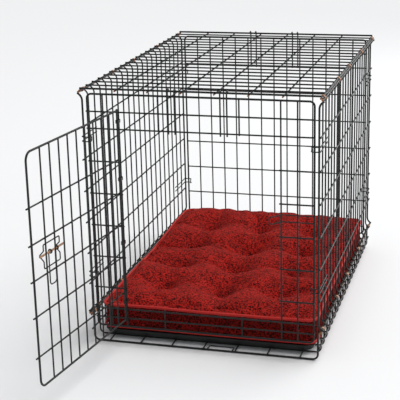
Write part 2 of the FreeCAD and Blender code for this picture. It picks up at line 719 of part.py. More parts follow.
def build_piping(name, level):
    """A round cord sewn along one edge of the pad."""
    body = new_body(f"pad_{name}_piping")
    over = "2 * Dims.piping + 1.2"
    height = f"Dims.padfloor + {level}"
    outer = rounded_box_sketch(body, "Outer", f"Dims.padwidth + {over}", f"Dims.paddepth + {over}",
                               "Dims.padcorner + Dims.piping + 0.6", f"{height} - Dims.piping")
    pad_feature(body, outer, "2 * Dims.piping", "Cord")
    inner = rounded_box_sketch(body, "Inner", "Dims.padwidth + 1.2", "Dims.paddepth + 1.2",
                               "Dims.padcorner + 0.6", f"{height} + Dims.piping")
    hollow = body.newObject("PartDesign::Pocket", "Middle")
    hollow.Profile = inner
    hollow.setExpression("Length", "2 * Dims.piping")


build_floor()
build_side("left", -1)
build_side("right", 1)
build_top()
build_front()
build_rear()
build_door()
build_pan()
build_pan_stop()
build_pad()
doc.recompute()

# --------------------------------------------------------------------- export
for item in doc.Objects:
    if "Invalid" in item.State or "Error" in item.State:
        raise RuntimeError(f"{item.Label} failed: {item.State}")
os.makedirs("parts", exist_ok=True)
for node in nodes:
    shape = node.Shape
    if shape.isNull() or not shape.isValid() or shape.Volume <= 0:
        raise RuntimeError(f"{node.Label} has no sound shape")
    shape.exportStep(f"parts/{node.Label}.step")
    print(f"{node.Label:28s} {len(shape.Solids):3d} solids {shape.Volume / 1000:9.2f} cm3")
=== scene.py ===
"""A folding wire crate with its tray and tufted pad, finished around the packed frame."""

import json
import math

import bmesh
import bpy
from mathutils import Matrix, Vector, noise


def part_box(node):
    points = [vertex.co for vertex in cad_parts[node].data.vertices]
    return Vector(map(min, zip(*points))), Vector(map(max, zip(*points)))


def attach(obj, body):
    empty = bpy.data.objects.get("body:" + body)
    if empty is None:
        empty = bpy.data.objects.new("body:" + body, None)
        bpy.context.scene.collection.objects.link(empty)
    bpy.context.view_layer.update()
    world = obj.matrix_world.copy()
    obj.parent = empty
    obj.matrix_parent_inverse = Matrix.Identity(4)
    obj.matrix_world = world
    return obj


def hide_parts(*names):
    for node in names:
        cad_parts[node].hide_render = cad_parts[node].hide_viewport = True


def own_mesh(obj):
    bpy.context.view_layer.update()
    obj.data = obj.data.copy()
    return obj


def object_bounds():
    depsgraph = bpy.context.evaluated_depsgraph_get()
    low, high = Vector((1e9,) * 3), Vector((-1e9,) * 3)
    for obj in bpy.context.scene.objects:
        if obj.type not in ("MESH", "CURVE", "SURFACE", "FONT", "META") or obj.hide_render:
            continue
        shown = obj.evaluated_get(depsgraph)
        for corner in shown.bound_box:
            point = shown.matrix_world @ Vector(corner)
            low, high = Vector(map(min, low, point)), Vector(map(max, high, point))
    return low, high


bl_info = {
    "name": "Folding wire crate",
    "version": (1, 0, 0),
    "blender": (4, 5, 0),
    "location": "3D View > Sidebar > Crate",
    "description": "Finishes a folding wire crate, its tray and its pad around the packed frame",
    "category": "Object",
}

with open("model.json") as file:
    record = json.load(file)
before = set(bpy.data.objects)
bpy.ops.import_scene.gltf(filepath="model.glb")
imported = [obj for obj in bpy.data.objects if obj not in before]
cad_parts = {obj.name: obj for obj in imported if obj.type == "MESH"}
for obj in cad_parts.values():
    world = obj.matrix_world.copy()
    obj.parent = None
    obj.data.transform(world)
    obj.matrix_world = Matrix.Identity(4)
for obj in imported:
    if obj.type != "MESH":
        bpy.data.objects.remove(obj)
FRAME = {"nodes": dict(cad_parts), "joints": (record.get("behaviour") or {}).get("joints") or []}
FRAME_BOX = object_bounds()
NODES = FRAME["nodes"]
MM = 0.001

PAD_LOW, PAD_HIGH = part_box("pad_cushion")
WELT_LOW, WELT_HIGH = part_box("pad_top_piping")
HEM_LOW, HEM_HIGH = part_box("pad_bottom_piping")
TRAY_LOW, TRAY_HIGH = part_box("pan")


# ------------------------------------------------------------------ settings


class CrateWireSettings(bpy.types.PropertyGroup):
    """Enamelled wire, its welds and its rusting clips."""

    enamel: bpy.props.FloatVectorProperty(
        name="Enamel",
        description="Colour of the black enamel on the wires",
        subtype="COLOR",
        size=3,
        min=0.0,
        max=1.0,
        default=(0.0085, 0.0100, 0.0098),
    )
    rust: bpy.props.FloatVectorProperty(
        name="Rust",
        description="Colour of fresh rust on the clips and the bolt",
        subtype="COLOR",
        size=3,
        min=0.0,
        max=1.0,
        default=(0.42, 0.150, 0.038),
    )
    weld_size: bpy.props.FloatProperty(
        name="Weld size",
        description="Size of a weld bead as a share of the wires' own radius",
        subtype="FACTOR",
        min=0.3,
        max=1.4,
        default=0.95,
    )


class CrateTraySettings(bpy.types.PropertyGroup):
    """The pressed tray under the pad."""

    colour: bpy.props.FloatVectorProperty(
        name="Tray colour",
        description="Colour of the tray's plastic",
        subtype="COLOR",
        size=3,
        min=0.0,
        max=1.0,
        default=(0.0055, 0.0058, 0.0062),
    )
    gauge: bpy.props.FloatProperty(
        name="Sheet gauge",
        description="Thickness of the tray's sheet",
        subtype="DISTANCE",
        unit="LENGTH",
        min=0.001,
        max=0.004,
        default=2.2 * MM,
    )
    corner: bpy.props.FloatProperty(
        name="Tray corner",
        description="Outside radius of the tray's corners",
        subtype="DISTANCE",
        unit="LENGTH",
        min=0.01,
        max=0.06,
        default=28 * MM,
    )


class CratePadSettings(bpy.types.PropertyGroup):
    """The tufted fleece pad and its two cords of piping."""

    fleece: bpy.props.FloatVectorProperty(
        name="Fleece",
        description="Red of the fleece",
        subtype="COLOR",
        size=3,
        min=0.0,
        max=1.0,
        default=(0.40, 0.0135, 0.0095),
    )
    fleck: bpy.props.FloatVectorProperty(
        name="Fleck",
        description="Dark flecks in the fleece",
        subtype="COLOR",
        size=3,
        min=0.0,
        max=1.0,
        default=(0.012, 0.0022, 0.0025),
    )
    # Painted shade: how far the fleece's side band between the pipings is darkened against its
    # top.
    painted_side_shade: bpy.props.FloatProperty(
        name="Gusset shade",
        description="How dark the side band between the two pipings is, against the top",
        subtype="FACTOR",
        min=0.1,
        max=1.0,
        default=0.42,
    )
    piping: bpy.props.FloatVectorProperty(
        name="Piping",
        description="Red of the twill piping",
        subtype="COLOR",
        size=3,
        min=0.0,
        max=1.0,
        default=(0.52, 0.0165, 0.0120),
    )
    corner: bpy.props.FloatProperty(
        name="Pad corner",
        description="Radius of the pad's corners in plan",
        subtype="DISTANCE",
        unit="LENGTH",
        min=0.015,
        max=0.1,
        default=26 * MM,
    )
    tuft_depth: bpy.props.FloatProperty(
        name="Tuft depth",
        description="How far each tuft is drawn down before the filling swells",
        subtype="DISTANCE",
        unit="LENGTH",
        min=0.0,
        max=0.05,
        default=30 * MM,
    )
    tuft_columns: bpy.props.IntProperty(
        name="Tuft columns",
        description="Tufts across the pad",
        min=1,
        max=6,
        default=3,
    )
    tuft_rows: bpy.props.IntProperty(
        name="Tuft rows",
        description="Tufts along the pad",
        min=1,
        max=8,
        default=4,
    )
    rear_rise: bpy.props.FloatProperty(
        name="Rear rise",
        description="How much fuller the pad is at its rear edge, where the filling has crept",
        subtype="DISTANCE",
        unit="LENGTH",
        min=0.0,
        max=0.03,
        default=12 * MM,
    )
    swell: bpy.props.FloatProperty(
        name="Swell limit",
        description="How far the filling may push the cover from where it was cut",
        subtype="DISTANCE",
        unit="LENGTH",
        min=0.005,
        max=0.04,
        default=24 * MM,
    )
    spare_cloth: bpy.props.FloatProperty(
        name="Spare cloth",
        description="How much larger the cover is cut than the block it holds",
        subtype="FACTOR",
        min=0.0,
        max=0.15,
        default=0.055,
    )
    cell: bpy.props.FloatProperty(
        name="Cloth cell",
        description="Size of the cells the cover is simulated in",
        subtype="DISTANCE",
        unit="LENGTH",
        min=0.004,
        max=0.02,
        default=7 * MM,
    )


class CrateStageSettings(bpy.types.PropertyGroup):
    """Floor, lights and camera."""

    floor: bpy.props.FloatVectorProperty(
        name="Floor",
        description="Colour of the pale floor",
        subtype="COLOR",
        size=3,
        min=0.0,
        max=1.0,
        default=(0.79, 0.794, 0.804),
    )
    room: bpy.props.FloatProperty(
        name="Room light",
        description="Strength of the even light from all round",
        min=0.0,
        max=3.0,
        default=0.50,
    )
    key: bpy.props.FloatProperty(
        name="Key light",
        description="Strength of the soft light from behind and to the right",
        min=0.0,
        max=10.0,
        default=2.2,
    )
    eye: bpy.props.FloatVectorProperty(
        name="Camera place",
        description="Where the camera stands",
        subtype="XYZ_LENGTH",
        unit="LENGTH",
        size=3,
        default=(0.7863, -3.1862, 1.2878),
    )
    heading: bpy.props.FloatProperty(
        name="Heading",
        description="Turn of the camera to the left of straight ahead",
        subtype="ANGLE",
        unit="ROTATION",
        default=math.radians(15.991),
    )
    tilt: bpy.props.FloatProperty(
        name="Tilt",
        description="How far the camera looks down",
        subtype="ANGLE",
        unit="ROTATION",
        default=math.radians(17.107),
    )
    roll: bpy.props.FloatProperty(
        name="Roll",
        description="How far the camera leans over",
        subtype="ANGLE",
        unit="ROTATION",
        default=math.radians(-1.459),
    )
    lens: bpy.props.FloatProperty(
        name="Lens",
        description="Focal length in millimetres on a 36 mm frame",
        min=20.0,
        max=300.0,
        default=107.1,
    )


SETTINGS = {
    "crate_wire": CrateWireSettings,
    "crate_tray": CrateTraySettings,
    "crate_pad": CratePadSettings,
    "crate_stage": CrateStageSettings,
}


# ------------------------------------------------------- finishes, as node maths


class Strand:
    """A socket inside a finish, which Python's own operators can work on."""

    def __init__(self, finish, socket):
        self.finish = finish
        self.socket = socket

    def _work(self, operation, other, flipped=False):
        first, second = (other, self) if flipped else (self, other)
        return self.finish.work(operation, first, second)

    def __add__(self, other):
        return self._work("ADD", other)

    def __radd__(self, other):
        return self._work("ADD", other, True)

    def __sub__(self, other):
        return self._work("SUBTRACT", other)

    def __rsub__(self, other):
        return self._work("SUBTRACT", other, True)

    def __mul__(self, other):
        return self._work("MULTIPLY", other)

    def __rmul__(self, other):
        return self._work("MULTIPLY", other, True)


class Finish:
    """One material: its nodes are added by the expressions that use them."""

    def __init__(self, name):
        self.material = bpy.data.materials.new(name)
        self.material.use_nodes = True
        self.tree = self.material.node_tree
        self.tree.nodes.clear()
        self.place = self.node("ShaderNodeTexCoord", out="Object")

    def node(self, kind, settings=None, inputs=None, out=0):
        """Any node: its settings first, then the values or links of its sockets."""
        made = self.tree.nodes.new(kind)
        for name, value in (settings or {}).items():
            if name == "stops":
                self._stops(made.color_ramp, value)
            else:
                setattr(made, name, value)
        for name, value in (inputs or {}).items():
            socket = made.inputs[name]
            if isinstance(value, Strand):
                self.tree.links.new(value.socket, socket)
            else:
                socket.default_value = value
        return Strand(self, made.outputs[out]) if made.outputs else None

    @staticmethod
    def _stops(ramp, stops):
        while len(ramp.elements) < len(stops):
            ramp.elements.new(1.0)
        for element, (position, colour) in zip(ramp.elements, stops):
            element.position = position
            element.color = (*colour, 1.0)

    def work(self, operation, first, second):
        """Numbers go through Math, vectors through Vector Math and colours through Mix."""
        kinds = {s.socket.type for s in (first, second) if isinstance(s, Strand)}
        if "RGBA" in kinds:
            return self.blend(1.0, self._tint(first), self._tint(second), operation)
        if "VECTOR" in kinds:
            first, second = self._arrow(first), self._arrow(second)
            kind = "ShaderNodeVectorMath"
        else:
            kind = "ShaderNodeMath"
        return self.node(kind, {"operation": operation}, {0: first, 1: second})

    @staticmethod
    def _tint(value):
        if isinstance(value, (int, float)):
            return (value, value, value, 1.0)
        return value if isinstance(value, Strand) or len(value) == 4 else (*value, 1.0)

    @staticmethod
    def _arrow(value):
        return (value, value, value) if isinstance(value, (int, float)) else value

    def blend(self, share, first, second, way="MIX"):
        """first becomes second as share goes from 0 to 1, both being colours."""
        return self.node(
            "ShaderNodeMix",
            {"data_type": "RGBA", "blend_type": way},
            {0: share, 6: self._tint(first), 7: self._tint(second)},
            out=2,
        )

    def fade(self, value, start, end, low=0.0, high=1.0):
        """A smooth step: low up to start, high from end."""
        return self.node(
            "ShaderNodeMapRange",
            {"interpolation_type": "SMOOTHSTEP"},
            {"Value": value, "From Min": start, "From Max": end, "To Min": low, "To Max": high},
        )

    def grain(self, size, detail=3.0, rough=0.5, stretch=None, warp=0.0):
        """Cloudy noise whose lumps are about size metres across."""
        where = self.place * stretch if stretch else self.place
        inputs = {"Vector": where, "Scale": 1.0 / size, "Detail": detail}
        inputs.update({"Roughness": rough, "Distortion": warp})
        return self.node("ShaderNodeTexNoise", {"noise_dimensions": "3D"}, inputs)

    def cells(self, size):
        """Distance across cells about size metres wide."""
        inputs = {"Vector": self.place, "Scale": 1.0 / size, "Randomness": 1.0}
        return self.node("ShaderNodeTexVoronoi", {"feature": "F1"}, inputs, out="Distance")

    def upward(self):
        """1 on faces that look up, 0 on level sides and below."""
        normal = self.node("ShaderNodeNewGeometry", out="Normal")
        return self.node("ShaderNodeSeparateXYZ", inputs={0: normal}, out="Z")

    def edges(self):
        """Over 0.5 where the mesh is sharp and proud, under it in hollows."""
        return self.node("ShaderNodeNewGeometry", out="Pointiness")

    def relief(self, height, depth):
        """A bump, depth metres high where height is 1."""
        inputs = {"Height": height, "Distance": depth, "Strength": 1.0}
        return self.node("ShaderNodeBump", inputs=inputs)

    def surface(self, constants, **maps):
        """Ends the finish: constants sit on the shader's sockets, maps vary over the surface."""
        inputs = dict(constants)
        inputs.update({name.replace("_", " "): strand for name, strand in maps.items()})
        shader = self.node("ShaderNodeBsdfPrincipled", inputs=inputs)
        self.node("ShaderNodeOutputMaterial", inputs={"Surface": shader})
        return self.material


def shade(colour, factor):
    """The colour made darker or lighter by a factor."""
    return [min(c * factor, 1.0) for c in colour]


def enamelled_wire(wire, name="enamelled_wire", rusting=0.0, cut_ends=False):
    """Dipped black enamel: sags, dust on its upper side, pinholes of rust and rusty cut ends."""
    f = Finish(name)
    sag = f.grain(0.035, 4.0, 0.55)
    peel = f.grain(0.0011, 2.0, 0.5)
    settled = f.fade(f.upward() + sag * 0.5, 0.75, 1.35)
    dust = settled * f.fade(f.grain(0.012, 4.0, 0.65), 0.38, 0.72)
    bloom = f.grain(0.0065, 3.0, 0.6, warp=0.4)
    patches = (0.735 - rusting * 0.16, 0.775 - rusting * 0.12)
    pinholes = f.fade(bloom, *patches) * f.fade(f.grain(0.09, 2.0), 0.5 - rusting * 0.12, 0.62)
    rust = pinholes
    if cut_ends:
        along = f.node("ShaderNodeSeparateXYZ", inputs={0: f.place}, out="Y")
        reach = f.node("ShaderNodeMath", {"operation": "ABSOLUTE"}, {0: along})
        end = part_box("top_long_wires")[1].y
        cut = f.fade(reach + bloom * 0.008, end - 0.0015, end + 0.0025)
        rust = f.work("MAXIMUM", pinholes, cut * 0.9)
    enamel = f.blend(f.fade(sag, 0.3, 0.7), shade(wire.enamel, 0.75), shade(wire.enamel, 1.5))
    dusty = f.blend(dust * 0.22, enamel, (0.075, 0.073, 0.066))
    stain = f.blend(f.grain(0.0025, 3.0), shade(wire.rust, 0.35), shade(wire.rust, 0.95))
    return f.surface(
        {"Specular IOR Level": 0.34, "IOR": 1.47},
        Base_Color=f.blend(rust, dusty, stain),
        Roughness=0.30 + sag * 0.14 + dust * 0.25 + rust * 0.35,
        Normal=f.relief(peel * 0.5 + sag * 0.5 - rust * 0.6, 0.00022),
    )


def weld_scale(wire):
    """Weld beads under the enamel, a little burnt and rougher than the wire."""
    f = Finish("weld_scale")
    scale = f.grain(0.0026, 4.0, 0.65)
    scorch = f.fade(f.grain(0.05, 2.0), 0.55, 0.7) * f.fade(scale, 0.52, 0.66)
    burnt = f.blend(scale, shade(wire.enamel, 0.7), (0.020, 0.021, 0.020))
    colour = f.blend(scorch * 0.8, burnt, shade(wire.rust, 0.42))
    return f.surface(
        {"Specular IOR Level": 0.32},
        Base_Color=colour,
        Roughness=0.38 + scale * 0.25,
        Normal=f.relief(scale, 0.0005),
    )


def rusting_strap(wire, name="rusting_strap", rubbed=0.5):
    """Bare steel strap gone to rust, with grey metal left where it rubs."""
    f = Finish(name)
    bloom = f.grain(0.006, 5.0, 0.62, warp=0.5)
    pits = f.cells(0.0013)
    rub = f.fade(f.edges() + bloom * 0.08, 0.50 + rubbed * 0.05, 0.60 + rubbed * 0.05)
    brown = f.node(
        "ShaderNodeValToRGB",
        {
            "stops": [
                (0.24, (0.055, 0.021, 0.009)),
                (0.38, (0.21, 0.075, 0.021)),
                (0.50, tuple(wire.rust)),
                (0.68, (0.60, 0.29, 0.105)),
            ]
        },
        {"Fac": bloom},
        out="Color",
    )
    steel = f.blend(f.grain(0.002, 3.0), (0.36, 0.33, 0.29), (0.58, 0.55, 0.50))
    bare = f.fade(f.grain(0.011, 3.0, 0.55), 0.60, 0.72) * 0.7 + rub * 0.25
    bare = f.work("MINIMUM", bare, 1.0)
    return f.surface(
        {"Specular IOR Level": 0.5},
        Base_Color=f.blend(bare, brown, steel),
        Metallic=bare * 0.85,
        Roughness=0.82 - bare * 0.42,
        Normal=f.relief(bloom * 0.7 - f.fade(pits, 0.0, 0.35, 0.35, 0.0), 0.00035),
    )


def pressed_tray(tray):
    """Black plastic with a haircell texture, scuffs and paw scratches."""
    f = Finish("pressed_tray")
    hair = f.grain(0.0022, 3.0, 0.6)
    cloud = f.grain(0.12, 4.0, 0.55)
    streaks = f.grain(0.02, 6.0, 0.7, stretch=(1.0, 0.12, 1.0), warp=0.6)
    scuff = f.fade(streaks, 0.60, 0.70) * f.fade(f.upward(), 0.3, 0.9)
    lint = f.fade(f.grain(0.0035, 2.0, 0.7), 0.70, 0.76) * f.fade(f.upward(), 0.4, 0.9)
    base = f.blend(f.fade(cloud, 0.35, 0.65), shade(tray.colour, 0.8), shade(tray.colour, 1.6))
    colour = f.blend(scuff * 0.35 + lint * 0.3, base, (0.085, 0.086, 0.088))
    return f.surface(
        {"Specular IOR Level": 0.42, "IOR": 1.47},
        Base_Color=colour,
        Roughness=0.33 + hair * 0.12 + scuff * 0.2 + lint * 0.2,
        Normal=f.relief(hair * 0.6 - scuff * 0.35, 0.00018),
    )


def flecked_fleece(pad, seam_top, seam_low):
    """Curly fleece: dark flecks in the red, a painted highlight that pales the crowns, and painted
    shade on the side band between the seams.
    """
    f = Finish("flecked_fleece")
    drift = f.grain(0.0037, 1.0, 0.5, warp=0.9)
    spots = f.fade(drift, 0.475, 0.545)
    curls = f.grain(0.0019, 3.0, 0.65, warp=0.5)
    nap = f.grain(0.055, 3.0, 0.55)
    painted_crown_highlight = f.fade(f.edges(), 0.48, 0.56)
    height = f.node("ShaderNodeSeparateXYZ", inputs={0: f.place}, out="Z")
    level = f.fade(f.upward(), 0.25, 0.6)
    # Painted shade: the side band under the top seam, apart from faces that look up, is darkened
    # by the side-shade factor.
    below = f.fade(height, seam_top - 0.004, seam_top - 0.001, 1.0, 0.0)
    band = below * (1.0 - level)
    red = f.blend(f.fade(nap, 0.3, 0.7), shade(pad.fleece, 0.80), shade(pad.fleece, 1.15))
    red = f.blend(f.fade(curls, 0.35, 0.7) * 0.30, red, (0.66, 0.030, 0.020))
    # Painted highlight: the proud crowns of the cover are blended toward a paler red.
    red = f.blend(painted_crown_highlight * 0.25, red, (0.74, 0.050, 0.034))
    colour = f.blend(spots * 0.94, red, pad.fleck)
    colour = colour * f.blend(band, (1.0, 1.0, 1.0), (pad.painted_side_shade, pad.painted_side_shade, pad.painted_side_shade))
    return f.surface(
        {
            "Specular IOR Level": 0.08,
            "Sheen Weight": 0.06,
            "Sheen Roughness": 0.45,
            "Sheen Tint": (1.0, 0.30, 0.24, 1.0),
        },
        Base_Color=colour,
        Roughness=0.88 + curls * 0.1,
        Normal=f.relief(curls + drift * 0.6, 0.0016),
    )


def twill_piping(pad):
    """Bias-cut twill pulled over a cord: fine ribs across it, shine on top."""
    f = Finish("twill_piping")
    ribs = f.node(
        "ShaderNodeTexWave",
        {"wave_type": "BANDS", "bands_direction": "DIAGONAL"},
        {"Vector": f.place, "Scale": 190.0, "Distortion": 1.2, "Detail": 2.0},
        out="Fac",
    )
    slub = f.grain(0.009, 3.0, 0.6)
    worn = ribs * 0.28 + f.fade(slub, 0.35, 0.7) * 0.22
    colour = f.blend(worn, pad.piping, shade(pad.piping, 0.55))
    return f.surface(
        {"Specular IOR Level": 0.28, "Sheen Weight": 0.06, "Sheen Roughness": 0.35},
        Base_Color=colour,
        Roughness=0.50 + slub * 0.2,
        Normal=f.relief(ribs + slub * 0.6, 0.00025),
    )


def tie_thread(pad):
    """Waxed thread of the tufts."""
    f = Finish("tie_thread")
    ply = f.grain(0.0012, 2.0, 0.5)
    return f.surface(
        {"Specular IOR Level": 0.4},
        Base_Color=f.blend(ply, shade(pad.piping, 0.25), shade(pad.piping, 0.6)),
        Roughness=0.55 + ply * 0.2,
        Normal=f.relief(ply, 0.0003),
    )


def studio_floor(stage):
    """Plain pale paper, very slightly mottled."""
    f = Finish("studio_floor")
    cloud = f.grain(1.6, 2.0, 0.5)
    return f.surface(
        {"Specular IOR Level": 0.2},
        Base_Color=f.blend(cloud, shade(stage.floor, 0.985), stage.floor),
        Roughness=0.86 + cloud * 0.05,
        Normal=f.relief(f.grain(0.004, 2.0), 0.00005),
    )


# ------------------------------------------------------------------ mesh helpers


def wear(obj, material):
    """Gives every slot of an object one material."""
    if not obj.data.materials:
        obj.data.materials.append(material)
    for slot in obj.material_slots:
        slot.material = material


def piece(name, mesh, material):
    """A named object in the scene from a finished mesh."""
    obj = bpy.data.objects.new(name, mesh)
    bpy.context.scene.collection.objects.link(obj)
    wear(obj, material)
    return obj


def mesh_from(name, bm):
    """The bmesh as a mesh, its faces shaded smooth."""
    bmesh.ops.recalc_face_normals(bm, faces=bm.faces)
    mesh = bpy.data.meshes.new(name)
    bm.to_mesh(mesh)
    bm.free()
    mesh.shade_smooth()
    return mesh


def round_outline(half_x, half_y, corner, per_corner=10, per_side=1):
    """Points of a rounded rectangle about the origin, anticlockwise."""
    corner = max(min(corner, half_x, half_y), 1e-5)
    points = []
    centres = [
        (half_x - corner, half_y - corner, 0),
        (corner - half_x, half_y - corner, 90),
        (corner - half_x, corner - half_y, 180),
        (half_x - corner, corner - half_y, 270),
    ]
    for index, (cx, cy, start) in enumerate(centres):
        for step in range(per_corner + 1):
            turn = math.radians(start + 90 * step / per_corner)
            points.append((cx + corner * math.cos(turn), cy + corner * math.sin(turn)))
        nx, ny, following = centres[(index + 1) % 4]
        turn = math.radians(following)
        target = (nx + corner * math.cos(turn), ny + corner * math.sin(turn))
        last = points[-1]
        for step in range(1, per_side):
            share = step / per_side
            points.append(tuple(a + (b - a) * share for a, b in zip(last, target)))
    return points


def stack_rings(bm, rings):
    """Joins rings of points, each a list of the same length, into a closed skin."""
    rows = [[bm.verts.new(p) for p in ring] for ring in rings]
    count = len(rows[0])
    for lower, upper in zip(rows, rows[1:]):
        for i in range(count):
            j = (i + 1) % count
            bm.faces.new((lower[i], lower[j], upper[j], upper[i]))
    bm.faces.new(list(reversed(rows[0])))
    bm.faces.new(rows[-1])


def baked_mesh(obj):
    """The object's mesh with its modifiers applied."""
    graph = bpy.context.evaluated_depsgraph_get()
    return bpy.data.meshes.new_from_object(obj.evaluated_get(graph), depsgraph=graph)


def swept_mesh(name, curve):
    """The skin swept along a curve, as a smooth mesh."""
    holder = bpy.data.objects.new(name + "_line", curve)
    bpy.context.scene.collection.objects.link(holder)
    mesh = baked_mesh(holder)
    bpy.data.objects.remove(holder)
    mesh.name = name
    mesh.shade_smooth()
    return mesh


# ------------------------------------------------------------------ weld beads


def separate_wires(node, turn):
    """The points of each wire in a node, turned square to the axes."""
    mesh = NODES[node].data
    parent = list(range(len(mesh.vertices)))

    def root(i):
        while parent[i] != i:
            parent[i] = parent[parent[i]]
            i = parent[i]
        return i

    seen = {}
    for vertex in mesh.vertices:
        key = tuple(round(c, 6) for c in vertex.co)
        if key in seen:
            parent[root(vertex.index)] = root(seen[key])
        else:
            seen[key] = vertex.index
    for edge in mesh.edges:
        a, b = (root(i) for i in edge.vertices)
        if a != b:
            parent[a] = b
    wires = {}
    for vertex in mesh.vertices:
        wires.setdefault(root(vertex.index), []).append(turn @ vertex.co)
    return list(wires.values())


# Lengths in a wire's own radius: the least wire, the least straight stretch in it, how wide a
# wire with one straight stretch may lie, and how far a stretch's points are from its middle.
SHORTEST_WIRE = 6
SHORTEST_RUN = 8
RUN_WIDTH = 2.4
RUN_REACH = 1.15

# How far apart two wires' skins may be and still be welded.
WELD_REACH = 0.6 * MM


def straight_runs(points):
    """(axis, centre, low, high, radius) of each straight stretch of a wire bent in one plane."""
    low = Vector(min(p[k] for p in points) for k in range(3))
    high = Vector(max(p[k] for p in points) for k in range(3))
    span = high - low
    thin = min(range(3), key=lambda k: span[k])
    radius = span[thin] / 2
    runs = []
    for axis in range(3):
        if axis == thin or span[axis] < SHORTEST_WIRE * radius:
            continue
        other = 3 - axis - thin
        if span[other] < RUN_WIDTH * radius:
            sides = [(low[other] + high[other]) / 2]
        else:
            sides = [low[other] + radius, high[other] - radius]
        for side in sides:
            near = [p[axis] for p in points if abs(p[other] - side) < RUN_REACH * radius]
            if not near or max(near) - min(near) < SHORTEST_RUN * radius:
                continue
            centre = (low + high) / 2
            centre[other] = side
            start, end = low.copy(), high.copy()
            start[axis], end[axis] = min(near), max(near)
            runs.append((axis, centre, start, end, radius))
    return runs


def crossings(nodes, turn):
    """Points where straight stretches of these nodes touch, with the radius of the finer one."""
    wires = [wire for node in nodes for wire in separate_wires(node, turn)]
    runs = [run for wire in wires for run in straight_runs(wire)]
    found = {}
    for i, (axis_a, centre_a, low_a, high_a, radius_a) in enumerate(runs):
        for axis_b, centre_b, low_b, high_b, radius_b in runs[i + 1 :]:
            if axis_a == axis_b:
                continue
            third = 3 - axis_a - axis_b
            gap = abs(centre_a[third] - centre_b[third])
            if gap > radius_a + radius_b + WELD_REACH or gap < 0.5 * (radius_a + radius_b):
                continue
            if not low_a[axis_a] - WELD_REACH <= centre_b[axis_a] <= high_a[axis_a] + WELD_REACH:
                continue
            if not low_b[axis_b] - WELD_REACH <= centre_a[axis_b] <= high_b[axis_b] + WELD_REACH:
                continue
            spot = Vector((0.0, 0.0, 0.0))
            spot[axis_a], spot[axis_b] = centre_b[axis_a], centre_a[axis_b]
            side = 1 if centre_b[third] > centre_a[third] else -1
            spot[third] = centre_a[third] + side * radius_a
            key = tuple(round(c, 4) for c in spot)
            found.setdefault(key, (spot, third, min(radius_a, radius_b)))
    return list(found.values())


def bead_mesh(name, spots, size, back):
    """One mesh of weld beads: a squeezed lens at each crossing, no two alike."""
    bm = bmesh.new()
    for spot, third, radius in spots:
        lump = noise.noise(spot * 97.0)
        made = bmesh.ops.create_icosphere(bm, subdivisions=2, radius=1.0)["verts"]
        spread = radius * size * (1.12 + 0.16 * lump)
        scale = Vector((spread, spread, spread))
        scale[third] = radius * size * 0.62
        for vertex in made:
            rough = 1.0 + 0.10 * noise.noise(vertex.co * 1.7 + spot * 211.0)
            vertex.co = back @ Vector(vertex.co[k] * scale[k] * rough + spot[k] for k in range(3))
    return mesh_from(name, bm)


def door_turn():
    """Turns the open door square to the front panel."""
    swing = next(joint for joint in FRAME["joints"] if joint["name"] == "door_swing")
    pin = Matrix.Translation(swing["pos_m"])
    shut = math.radians(swing["range_deg"][1])
    return pin @ Matrix.Rotation(shut, 4, swing["axis"]) @ pin.inverted()


SIDE_WIRES = ("uprights", "end_posts", "edge_wires", "long_wires")

# The top's two hinge wires are left out: the sides' clips and edge wires turn close round them.
WELDED_PANELS = {
    "base": ["floor_cross_wires", "floor_long_wires", "floor_end_wires", "lip_middle_wires"],
    "left_side": [f"left_side_{kind}" for kind in SIDE_WIRES],
    "right_side": [f"right_side_{kind}" for kind in SIDE_WIRES],
    "top": ["top_cross_wires", "top_end_wires", "top_long_wires"],
    "front_panel": [
        "front_frame",
        "front_jamb_wires",
        "header_uprights",
        "sill_uprights",
        "header_bars",
        "sill_bars",
        "left_jamb_bars",
        "right_jamb_bars",
    ],
    "rear_panel": ["rear_frame", "rear_uprights", "rear_bars"],
    "door": ["door_frame", "door_hinge_wire", "door_uprights", "door_bars"],
}


# ------------------------------------------------------------------ tray


def tray_profile(low, high, gauge):
    """(inset, height) up the tray's outside, over its rolled rim and down inside to its bead."""
    height = high.z - low.z
    roll = 3.4 * MM  # the rim's radius with its skin
    draft = 2.2 * MM  # how far the wall leans in at its foot
    foot = 4.5 * MM  # the foot's radius
    bead = 1.6 * MM  # the floor bead's height
    outer, skin = roll * 0.75, roll * 0.98
    quarter = [math.radians(90 * step / 6) for step in range(7)]
    section = []
    for turn in quarter:
        inset = outer + draft + foot * (1 - math.sin(turn))
        section.append((inset, low.z + foot * (1 - math.cos(turn))))
    lip = low.z + height - roll
    section.append((outer + 0.4 * MM, lip - 1.2 * MM))
    for step in range(9):
        turn = math.radians(-60 + 240 * step / 8)
        section.append((skin - skin * math.cos(turn), lip + skin * math.sin(turn)))
    inner = outer + gauge
    section.append((inner + 1.1 * MM, lip - 1.5 * MM))
    floor = low.z + gauge
    for turn in quarter:
        inset = inner + draft + foot * (1 - math.cos(turn))
        section.append((inset, floor + foot * (1 - math.sin(turn))))
    for start, rise in ((26 * MM, 0.0), (30 * MM, bead), (36 * MM, bead), (40 * MM, 0.0)):
        section.append((start, floor + rise))
    return section


# ------------------------------------------------------------------ pad

TUFT_DISH = 75 * MM  # radius of the dish round a tuft
TUFT_THROAT = 26 * MM  # radius of its steep middle
TUFT_SAG = 5 * MM  # depth of the dish apart from its middle
CROWN_ROOM = 12 * MM  # how far the crowns may rise over the plain cushion
SIDE_ROOM = (3 * MM, 4 * MM)  # how far the sides and the ends may bulge past their seams
SEAM_HOLD = 1.15  # half the width of cover that a seam holds, in cells
TUFT_HOLD = 0.9  # radius of cover that a tuft holds, in cells
FILLING_FRAMES = 20


def waver(x, y, reach, pitch, layer):
    """Smooth wandering of up to reach, with pitch lumps to the metre."""
    return reach * noise.noise(Vector((x * pitch, y * pitch, layer)))


